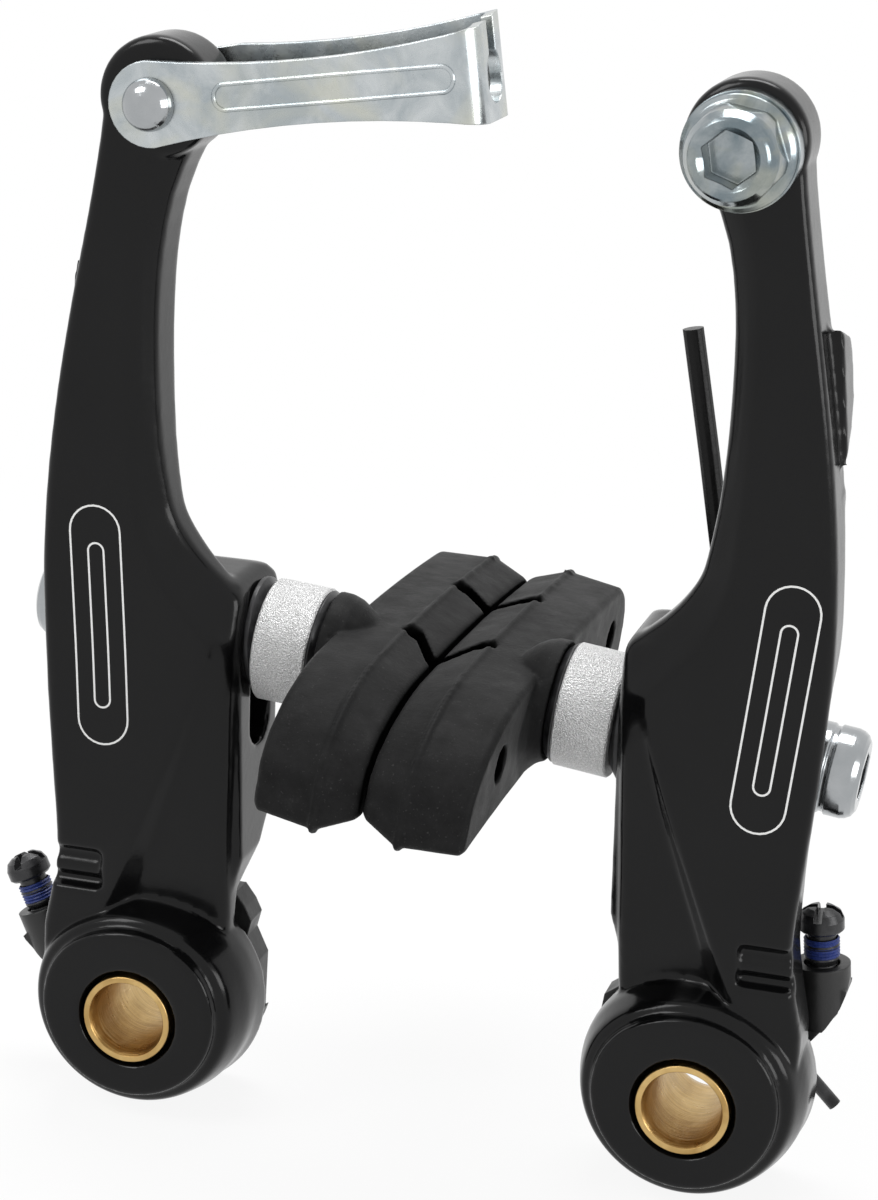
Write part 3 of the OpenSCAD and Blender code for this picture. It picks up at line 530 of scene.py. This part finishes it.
def combine(ob, others, operation):
    """Join the other solids to ob, or cut them out of it."""
    for i, other in enumerate(others):
        m = ob.modifiers.new("b" + str(i), "BOOLEAN")
        m.operation = operation
        m.solver = "EXACT"
        m.object = other
    apply_modifiers(ob)
    for other in others:
        me = other.data
        bpy.data.objects.remove(other)
        bpy.data.meshes.remove(me)


def remeshed(ob, voxel, rounds):
    """Remesh the piece in small voxels (mm) and round its edges."""
    r = ob.modifiers.new("remesh", "REMESH")
    r.mode = "VOXEL"
    r.voxel_size = voxel * MM
    r.adaptivity = 0.0
    s = ob.modifiers.new("smooth", "SMOOTH")
    s.factor = 0.5
    s.iterations = rounds
    apply_modifiers(ob)
    smooth(ob)
    ob.data.update()
    return ob


def side_place(side):
    """Local side frame: mm, pivot axis at the bush front, +X to the rim."""
    s = 1 if side == "left" else -1
    return lambda x, y, z: Vector((s * (x - SPACING / 2), y - BUSH_LEN / 2,
                                   z)) * MM


def clamp(v):
    return min(max(v, 0), 1)


def ease(v, a, b):
    """0 below a, 1 above b, smooth between."""
    t = clamp((v - a) / (b - a))
    return t * t * (3 - 2 * t)


# voxels that keep arms and pads under 200,000 triangles, in mm
ARM_VOXEL, PAD_VOXEL = 0.32, 0.225
# what shape_boss moves, in mm: the radii it works between, how far it widens
# the ring and how far it raises the swelling
BOSS_IN, BOSS_OUT, RING_GROWTH, SWELL_RISE = 5.9, 15, 0.8, 0.9


def shape_boss(arm, side):
    """Set the boss's swelling a little high and widen its front ring."""
    at = side_place(side)
    origin = at(0, 0, 0)
    for v in arm.data.vertices:
        d = (v.co - origin) / MM
        r = math.hypot(d.x, d.z)
        if r > BOSS_OUT or r < BOSS_IN:
            continue
        flat = 1 - ease(d.y, 1, 5)
        wide = (RING_GROWTH * flat * ease(r, 6, 9.2)
                * (1 - ease(r, 10.2, 13.5)))
        up = (SWELL_RISE * ease(r, 6, 9.5) * (1 - ease(d.z, 3, 12))
              * (1 - ease(d.y, 8, 12)))
        v.co += Vector((d.x / r * wide, 0, d.z / r * wide + up)) * MM
    arm.data.update()


ARMS = {}
for side in SIDES:
    arm = remeshed(node_copy(side + "_arm", side + "_forged_arm",
                             MATS["arm"]), ARM_VOXEL, 7)
    shape_boss(arm, side)
    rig.replaces(arm, side + "_arm")
    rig.ride(arm, side + "_arm")
    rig.slot(arm, "black_arm")
    ARMS[side] = arm


# rubber pads; x from the back face to the rim, y along the pad from the
# stud to the back, z up, in mm
PAD_LEN, PAD_H, PAD_FACE_H, PAD_BACK_H, PAD_T = 71.5, 12.6, 9.8, 12, 11.2
PAD_PART, PAD_DROP, PAD_ARCH, PAD_FRONT, PAD_BACK = 6.8, 1.9, 420, 29.5, 20.35
STUD_Y, STUD_Z, BALL_X, STUD_R = 13, 38.6, 3.4, 3.02
PAD_MID = PAD_LEN / 2 - PAD_FRONT
# height of the seam's ridge, the nibs' radius, the notches' depth and radius,
# and where each notch opens at the face and how far it slants from there
SEAM_RISE, NIB_R, NOTCH_DEPTH, NOTCH_R = 0.6, 0.45, 3.4, 1.55
NOTCHES = (-4, 4), (18, 1.9)
# half height and half length of the plate, and where it lies from the back
PLATE_HALF_H, PLATE_HALF_LEN, PLATE_X = 3.4, 13, (1, 2.8)
# foot around the stud: half length, half height, middle height, x
PAD_FOOT = [(12.0, 5.4, -1.9, 1.6), (11.2, 5.8, -1.9, 0.2),
            (9.6, 6.1, -1.5, -0.15), (8.2, 6.3, -0.9, -0.5),
            (7.3, 6.5, -0.4, -1.0), (6.8, 6.7, 0, -1.55)]
# collar around the stud: radius, x
PAD_COLLAR = [(3.4, 3.6), (4.6, 2.9), (5.6, 1.9), (6.3, 0.8), (6.65, -0.3),
              (6.7, -1.6)]
# round holes in the back: radius, depth, places along the pad
HOLE_R, HOLE_DEPTH, HOLES_Y = 2, 3.2, (-17, 33)


def pad_low(y):
    """How far the middle of the pad lies below its stud."""
    return PAD_DROP + y * y / 2 / PAD_ARCH


def circle(n):
    """Cosine and sine of n even steps round a circle."""
    return [(math.cos(k * math.tau / n), math.sin(k * math.tau / n))
            for k in range(n)]


def pad_ring(x, ky, kz):
    """Arched outline of the pad, with bow and stern; ky, kz shrink it."""
    f, b, h = -PAD_FRONT, PAD_LEN - PAD_FRONT, PAD_H / 2

    def turn(cy, cz, ry, rz, a0, a1, n):
        return [(cy + ry * math.cos(t), cz + rz * math.sin(t))
                for t in (math.radians(a0 + (a1 - a0) * i / n)
                          for i in range(n + 1))]
    flat = [i / 14 for i in range(1, 14)]
    pts = turn(f + 1.2, -h + 1.2, 1.2, 1.2, 270, 180, 6)
    pts += [(f + 0.1, -h + 2), (f + 0.35, -h + 2.9)]
    pts += turn(f + 18.4, -2.5, 18, h + 2.5, 174, 90, 24)
    pts += [(f + 18.4 + (PAD_LEN - 24.8) * u, h) for u in flat]
    pts += turn(b - 6.4, h - 6.4, 6.4, 6.4, 90, 0, 12)
    pts += turn(b - 4, -h + 4, 4, 4, 0, -90, 10)
    pts += [(b - 4 - (PAD_LEN - 5.2) * u, -h) for u in flat]
    out = []
    for py, pz in pts:
        y = PAD_MID + (py - PAD_MID) * ky
        out.append((x, y, pz * kz - pad_low(y)))
    return out


def lathe_x(profile, y=0, z=0):
    """Rings of (radius, x) pairs turned about a line along x."""
    return [[(x, y + r * c, z + r * s) for c, s in circle(64)]
            for r, x in profile]


def prism_z(outline, z0, z1):
    return [[(x, y, z) for x, y in outline] for z in (z0, z1)]


def water_notch(y, slant):
    """Outline of a notch from above: open at the face, round inside."""
    cx, cy, r = PAD_T - NOTCH_DEPTH, y + slant, NOTCH_R
    arc = [(cx + r * math.cos(t), cy + r * math.sin(t))
           for t in (math.radians(290 - 210 * i / 10) for i in range(11))]
    return ([(PAD_T + 0.4, y - 1.7), (PAD_T - 0.6, y - 1.1)] + arc
            + [(PAD_T - 0.4, y + 1.2), (PAD_T + 0.4, y + 1.5)])


def rubber_pad(side, lift, lean):
    """Pad at its stud's height in the slot (mm) and lean (degrees)."""
    at = side_place(side)
    c, s = math.cos(math.radians(lean)), math.sin(math.radians(lean))

    def place(x, y, z):
        x += PAD_BACK - BALL_X
        return at(BALL_X + x * c - z * s, STUD_Y + y,
                  STUD_Z + lift + x * s + z * c)

    kb, kf, m = PAD_BACK_H / PAD_H, PAD_FACE_H / PAD_H, PAD_PART
    seam = 1 + SEAM_RISE / PAD_H
    body = solid([pad_ring(*v) for v in (
        (0, 0.945, kb - 0.07), (0.5, 0.96, kb), (m - 0.3, 0.985, 1),
        (m - 0.2, 0.995, seam), (m + 0.2, 0.995, seam), (m + 0.3, 0.985, 1),
        (PAD_T - 0.5, 0.95, kf), (PAD_T, 0.935, kf - 0.06))], place)
    foot = solid([[(x, ry * c64, zc + rz * s64) for c64, s64 in circle(64)]
                  for ry, rz, zc, x in PAD_FOOT], place)
    nibs = []
    y1, y2 = PAD_LEN - PAD_FRONT - 7.2, 1.6 - PAD_FRONT
    for y, z in ((y1, PAD_H / 2 - pad_low(y1) - 0.6),
                 (y2, -PAD_H / 2 - pad_low(y2) - 0.4)):
        nibs.append(solid([[(m + NIB_R * cn, y + NIB_R * sn, z + k)
                            for cn, sn in circle(16)] for k in (0, 1.0)],
                          place))
    collar = solid(lathe_x(PAD_COLLAR), place)
    combine(body, [foot, collar] + nibs, "UNION")
    x0, x1 = PLATE_X
    plate = prism_z([(x0, -PLATE_HALF_LEN), (x1, -PLATE_HALF_LEN),
                     (x1, PLATE_HALF_LEN), (x0, PLATE_HALF_LEN)],
                    -PLATE_HALF_H, PLATE_HALF_H)
    cuts = [solid(prism_z(water_notch(*notch), -20, 20), place)
            for notch in NOTCHES]
    cuts += [solid(lathe_x([(STUD_R, -3), (STUD_R, 2)]), place),
             solid(plate, place)]
    for y in HOLES_Y:
        cuts.append(solid(lathe_x([(HOLE_R, -1), (HOLE_R, HOLE_DEPTH)], y,
                                  0.2 - pad_low(y)), place))
    combine(body, cuts, "DIFFERENCE")
    body.name = side + "_rubber_pad"
    remeshed(body, PAD_VOXEL, 3)
    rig.replaces(body, side + "_pad")
    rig.ride(body, side + "_arm")
    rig.slot(body, "pad_rubber")


rubber_pad("left", 4.6, -5)
rubber_pad("right", -1, 7)


# what is cut off the holder's chin, under the screw lug
HOLDER_CHIN = [(-18, 11.7), (-14.8, 11.7), (-14.7, 10.2), (-14.2, 8.6),
               (-12.9, 6.4), (-11.4, 4.4), (-10.2, 3.4), (-10.2, -1),
               (-18, -1)]


def holder(side, corner):
    """Slimmer spring holder, whose corner stands out by so many mm."""
    at = side_place(side)
    turn = math.radians(TURN[side])
    c, s = math.cos(turn), math.sin(turn)

    def place(x, y, z):
        return at(x * c - z * s, y, x * s + z * c)

    def cut(outline):
        return solid([[(x, y, z) for x, z in outline] for y in (-2, 20)],
                     place)

    ob = node_copy(side + "_holder", side + "_spring_holder",
                   MATS["plastic"])
    combine(ob, [
        cut(HOLDER_CHIN),
        cut([(9, 8.3), (11.8 + corner, 6.2), (12.1 + corner, 4.2),
             (12 + corner, 2.5), (11.6, 1), (11.4, -2.2), (8, -8),
             (17, -8), (17, 12), (9, 12)])], "DIFFERENCE")
    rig.replaces(ob, side + "_holder")
    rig.ride(ob, "frame_side")
    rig.slot(ob, "holder_plastic")


holder("left", 1)
holder("right", 0)


# springs as round wire, close to the source's route but with shorter ends:
# coil radius, pitch and first plane, wire radius, length of the short end
COIL_R, PITCH, COIL_Y, WIRE, END_LEN = 7.6, 1.62, 9.3, 0.75, 12.6
# points of the long leg (mm), from the coil up
LEG_FREE = [(-7.4, 9.3, 3), (-6.9, 10.6, 8), (-5.9, 16, 15),
            (-4, 19.7, 18.5), (-2.9, 20.8, 22), (0.8, 21, 38),
            (2.6, 20.3, 51.6), (5.3, 20.1, 66.8), (7.7, 20, 79.4)]
LEG_HOOK = [(-7.4, 9.3, 3), (-6.9, 10.6, 8), (-6.1, 16, 15),
            (-5.3, 19.6, 17.5), (-5.1, 20.6, 21), (-4.4, 20.6, 46),
            (-4.2, 17.4, 54), (-4.2, 13.6, 62), (-4.2, 12.2, 82)]


def spring_route(leg, turn):
    """Points from the top of the leg, round the coil, to the short end."""
    last = 135 + turn + 360
    pts = [Vector(p) for p in reversed(leg)]
    n = 132
    for i in range(n + 1):
        a = 180 + (last + 180) * i / n
        t = math.radians(a)
        pts.append(Vector((COIL_R * math.cos(t),
                           COIL_Y + PITCH * (a - 180) / 360,
                           COIL_R * math.sin(t))))
    yl = COIL_Y + PITCH * (last + 180) / 360
    e, d = math.radians(last), math.radians(last + 90)
    for s in (3, 5, END_LEN):
        pts.append(Vector((COIL_R * math.cos(e) + s * math.cos(d),
                           yl + (LUG_Y - 0.4 - yl) * min(s / 5, 1),
                           COIL_R * math.sin(e) + s * math.sin(d))))
    return pts


def soften(pts, rounds):
    """The line with its corners cut, so many times over."""
    for _ in range(rounds):
        out = [pts[0]]
        for a, b in zip(pts, pts[1:]):
            out += [a.lerp(b, 0.25), a.lerp(b, 0.75)]
        pts = out + [pts[-1]]
    return pts


def tube(name, pts, radius, mat, sides=16, closed=False):
    """Round bar through the points, with a turn-free frame."""
    bm = bmesh.new()
    if closed:
        pts = [pts[-1]] + pts + pts[:1]
    n = len(pts)
    ref = None
    rings = []
    for i, p in enumerate(pts):
        t = (pts[min(i + 1, n - 1)] - pts[max(i - 1, 0)]).normalized()
        if ref is None:
            ref = t.orthogonal().normalized()
        ref = (ref - t * ref.dot(t)).normalized()
        v = t.cross(ref)
        rings.append([bm.verts.new(p + radius * (
            math.cos(k * math.tau / sides) * ref
            + math.sin(k * math.tau / sides) * v)) for k in range(sides)])
    if closed:
        bmesh.ops.delete(bm, geom=rings[0] + rings[-1], context="VERTS")
        rings = rings[1:-1] + rings[1:2]
    skin(bm, rings)
    if not closed:
        cap(bm, rings)
    for f in bm.faces:
        f.smooth = len(f.verts) == 4
    return from_bmesh(bm, name, mat)


for side, leg in (("left", LEG_HOOK), ("right", LEG_FREE)):
    at = side_place(side)
    pts = [at(*p) for p in spring_route(leg, TURN[side])]
    joint = len(leg)
    head = soften(pts[:joint], 2)
    if side == "left":
        # the leg swings with the arm, the coil winds up behind it
        wires = [tube("left_spring_leg", head + pts[joint:joint + 1],
                      WIRE * MM, MATS["steel"]),
                 tube("left_spring_coil", pts[joint:], WIRE * MM,
                      MATS["steel"])]
    else:
        wires = [tube("right_spring_wire", head + pts[joint:], WIRE * MM,
                      MATS["steel"])]
    for wire in wires:
        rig.replaces(wire, side + "_spring")
        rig.slot(wire, "black_spring")
    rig.ride(wires[0], "left_arm" if side == "left" else "frame_side")
    if side == "left":
        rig.blend(wires[1], "left_arm", "frame_side", start=at(0, 9.4, 0),
                 end=at(0, 13.6, 0))


def soft_shade(ob):
    smooth(ob)
    ob.data.set_sharp_from_angle(angle=math.radians(32))
    ob.data.update()


def turned(name, profile, place, mat):
    """Closed (radius, y) outline turned about the pivot axis."""
    bm = bmesh.new()
    rows = [[bm.verts.new(place(r * c, y, r * s)) for c, s in circle(96)]
            for r, y in profile]
    skin(bm, rows + rows[:1])
    ob = from_bmesh(bm, name, mat)
    soft_shade(ob)
    return ob


# half outline (radius, y) of the bush: bore, flared mouth, thin rim
BUSH_RIM = [(4.03, 1.4), (4.38, 0.1), (4.46, 0), (5.02, 0), (5.1, 0.08)]

for side in SIDES:
    back = [(r, BUSH_LEN - y) for r, y in reversed(BUSH_RIM)]
    bush = turned(side + "_turned_bush", BUSH_RIM + back, side_place(side),
                  MATS["brass"])
    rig.replaces(bush, side + "_bush")
    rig.ride(bush, "frame_side")
    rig.slot(bush, "brass_bush")


# cable link, whose back plate stands higher: degrees, then mm
LINK_TILT, LINK_MID_Y, LINK_RISE, LINK_GAP = 8.5, 8.0, 1.0, 8.4
at = side_place("left")
link = node_copy("cable_link", "bent_link", MATS["zinc"])
lc, ls = math.cos(math.radians(LINK_TILT)), math.sin(math.radians(LINK_TILT))
rivet = at(HEAD_X, 0, ARM_LEN)
for v in link.data.vertices:
    d = (v.co - rivet) / MM
    # u runs from the rivet along the link, w square to it
    u, w = d.x * lc + d.z * ls, d.z * lc - d.x * ls
    to_back = clamp((d.y - LINK_MID_Y + LINK_GAP / 2) / LINK_GAP)
    lift = LINK_RISE * to_back * clamp((u - 1) / 6) * clamp(w / 3) * MM
    v.co += Vector((-ls, 0, lc)) * lift
soft_shade(link)
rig.replaces(link, "cable_link")
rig.ride(link, "link")
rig.slot(link, "zinc_link")


# white marks: height above the pivot, line width, and height off the paint;
# bead on the link: middle, half length, radius, wire radius; all in mm
MARK_Z, MARK_WIDTH, MARK_HEIGHT = 44.6, 0.22, 0.03
BEAD_MID, BEAD_HALF, BEAD_R, BEAD_WIRE = 20, 11.5, 1.35, 0.24
BACKWARDS = Vector((0, 1, 0))


def stadium(cx, cz, half, r, lean):
    """Closed outline of a long rounded bar, leaning in the X-Z plane."""
    pts, n = [], 14
    for end in (0, 1):
        for i in range(n + 1):
            a = math.pi * end + math.pi * i / n
            pts.append((r * math.cos(a),
                        (-half if end else half) + r * math.sin(a)))
    c, s = math.cos(lean), math.sin(lean)
    return [(cx + x * c - z * s, cz + x * s + z * c) for x, z in pts]


def dense(loop, step):
    """The closed loop with a point about every step mm, and none twice."""
    out = []
    for a, b in zip(loop, loop[1:] + loop[:1]):
        length = math.dist(a, b)
        if length < 0.01:
            continue
        k = max(1, int(length / step))
        out += [(a[0] + (b[0] - a[0]) * i / k, a[1] + (b[1] - a[1]) * i / k)
                for i in range(k)]
    return out


def mark(side, shapes, width):
    """Thin white lines laid on the arm's front, each a closed loop."""
    arm = ARMS[side]
    at = side_place(side)
    tree = BVHTree.FromObject(arm, bpy.context.evaluated_depsgraph_get())
    bm = bmesh.new()
    for shape in shapes:
        loop = dense(shape, 0.5)
        n = len(loop)
        rails = []
        for i in range(n):
            p, q, r = loop[i - 1], loop[i], loop[(i + 1) % n]
            t = Vector((r[0] - p[0], r[1] - p[1])).normalized()
            nrm = Vector((-t.y, t.x)) * width / 2
            row = []
            for s in (-1, 1):
                g = at(q[0] + s * nrm.x, -3, q[1] + s * nrm.y)
                hit = tree.ray_cast(g, BACKWARDS)[0] or at(q[0], 3.4, q[1])
                row.append(bm.verts.new(hit - BACKWARDS * MARK_HEIGHT * MM))
            rails.append(row)
        for i in range(n):
            a, b = rails[i], rails[(i + 1) % n]
            bm.faces.new((a[0], a[1], b[1], b[0]))
    bm.normal_update()
    for f in bm.faces:
        if f.normal.y > 0:
            f.normal_flip()
    ob = from_bmesh(bm, side + "_mark", MATS["ink"], outwards=False)
    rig.ride(ob, side + "_arm")


for side, cx, lean in (("left", -4.9, 0.06), ("right", -6.4, 0.10)):
    mark(side, [stadium(cx, MARK_Z, 10.6, 2.9, lean),
                stadium(cx, MARK_Z, 8.4, 0.9, lean)], MARK_WIDTH)


def link_bead():
    """Raised plain bead on the link's front plate, in the name's place."""
    tree = BVHTree.FromObject(link, bpy.context.evaluated_depsgraph_get())
    outline = [(x + (BEAD_HALF if x > BEAD_MID
                     else -BEAD_HALF if x < BEAD_MID else 0), z)
               for x, z in stadium(BEAD_MID, 0.1, 0, BEAD_R, 0)]
    loop = []
    for u, w in dense(outline, 0.8):
        p = at(HEAD_X + u * lc - w * ls, -6, ARM_LEN + u * ls + w * lc)
        loop.append(tree.ray_cast(p, BACKWARDS)[0] or p)
    bead = tube("link_bead", loop, BEAD_WIRE * MM, MATS["zinc"], 12, True)
    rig.ride(bead, "link")


link_bead()

# blue lock paint: its ends on the screw above the lug, and its radius in
# the grooves and on the crests of the thread
LOCK_LOW, LOCK_TOP, LOCK_RADII = 0.8, 3.0, (1.80, 1.97)


def lock_patch(side):
    at = side_place(side)
    turn = Matrix.Rotation(math.radians(-TURN[side]), 3, "Y")
    tilt = Matrix.Rotation(math.radians(LUG_TILT), 3, "Y")
    bm = bmesh.new()
    rings, last = [], 12
    for i in range(last + 1):
        z = LOCK_LOW + (LOCK_TOP - LOCK_LOW) * i / last
        r = LOCK_RADII[i % 2]
        ring = [turn @ (tilt @ Vector((r * c, r * s, z))
                        + Vector((LUG_X, LUG_Y, LUG_Z)))
                for c, s in circle(32)]
        rings.append([bm.verts.new(at(*p)) for p in ring])
    skin(bm, rings)
    ob = from_bmesh(bm, side + "_lock_paint", MATS["lock"])
    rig.ride(ob, side + "_screw")


for side in SIDES:
    lock_patch(side)


# floor and light
def white_rays(t):
    """1 on the rays that should meet plain white, else 0."""
    path = t.nodes.new("ShaderNodeLightPath")
    total = path.outputs["Is Camera Ray"]
    for name in ("Is Glossy Ray", "Is Transmission Ray"):
        add = t.nodes.new("ShaderNodeMath")
        add.operation = "MAXIMUM"
        t.links.new(total, add.inputs[0])
        t.links.new(path.outputs[name], add.inputs[1])
        total = add.outputs[0]
    return total


# the floor's own glow: from this radius to that one (m), and its shares
GLOW_FADE = 0.08, 0.30, 0.90, 1.0


def floor_material():
    """Pale floor that keeps a soft shadow and fades to white far off."""
    m = bpy.data.materials.new("floor_pale")
    m.use_nodes = True
    t = m.node_tree
    b = t.nodes["Principled BSDF"]
    out = t.nodes["Material Output"]
    b.inputs["Base Color"].default_value = (0.82, 0.82, 0.82, 1)
    b.inputs["Roughness"].default_value = 0.9
    b.inputs["Specular IOR Level"].default_value = 0.05
    glow = t.nodes.new("ShaderNodeEmission")
    glow.inputs["Color"].default_value = (1, 1, 1, 1)
    glow.inputs["Strength"].default_value = 1.0
    pos = t.nodes.new("ShaderNodeTexCoord").outputs["Object"]
    size = t.nodes.new("ShaderNodeVectorMath")
    size.operation = "LENGTH"
    t.links.new(pos, size.inputs[0])
    fade = t.nodes.new("ShaderNodeMapRange")
    for i, v in enumerate(GLOW_FADE, 1):
        fade.inputs[i].default_value = v
    t.links.new(size.outputs["Value"], fade.inputs[0])
    share = t.nodes.new("ShaderNodeMath")
    share.operation = "MULTIPLY"
    t.links.new(fade.outputs[0], share.inputs[0])
    t.links.new(white_rays(t), share.inputs[1])
    mix = t.nodes.new("ShaderNodeMixShader")
    t.links.new(share.outputs[0], mix.inputs[0])
    t.links.new(b.outputs[0], mix.inputs[1])
    t.links.new(glow.outputs[0], mix.inputs[2])
    t.links.new(mix.outputs[0], out.inputs["Surface"])
    return m


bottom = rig.bounds()[0][2]
bm = bmesh.new()
bmesh.ops.create_circle(bm, cap_ends=True, segments=96, radius=2.5)
floor = from_bmesh(bm, "floor", floor_material(), outwards=False)
floor.location.z = bottom
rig.stage(floor)

# what the lamps aim at (m)
MID = (0, 0, 0.05)


def area(name, where, size, power):
    """Area lamp: place and size in metres, power in watts."""
    data = bpy.data.lights.new(name, "AREA")
    data.shape = "RECTANGLE"
    data.size, data.size_y = size
    data.energy = power
    ob = bpy.data.objects.new(name, data)
    scene.collection.objects.link(ob)
    ob.location = where
    ob.rotation_euler = (Vector(MID) - Vector(where)).to_track_quat(
        "-Z", "Y").to_euler()


area("key", (-0.5, -0.5, 0.75), (0.4, 0.4), 3.5)
area("side", (0.8, -0.28, 0.2), (0.55, 0.35), 3.2)
area("top", (0.0, 0.3, 0.9), (0.6, 0.4), 7.0)


def studio():
    """Soft world light, seen as plain white by the rays of white_rays."""
    world = bpy.data.worlds.new("studio")
    scene.world = world
    world.use_nodes = True
    t = world.node_tree
    t.nodes.clear()
    out = t.nodes.new("ShaderNodeOutputWorld")
    mix = t.nodes.new("ShaderNodeMixShader")
    t.links.new(white_rays(t), mix.inputs[0])
    for i, (grey, strength) in enumerate(((0.9, 0.5), (1, 1.0)), 1):
        light = t.nodes.new("ShaderNodeBackground")
        light.inputs["Color"].default_value = (grey, grey, grey, 1)
        light.inputs["Strength"].default_value = strength
        t.links.new(light.outputs[0], mix.inputs[i])
    t.links.new(mix.outputs[0], out.inputs[0])


studio()
scene.view_settings.view_transform = "Standard"

with open("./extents.json", "w") as f:
    json.dump({"cad": BOX_CAD, "visual": [list(c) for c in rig.bounds()]}, f)
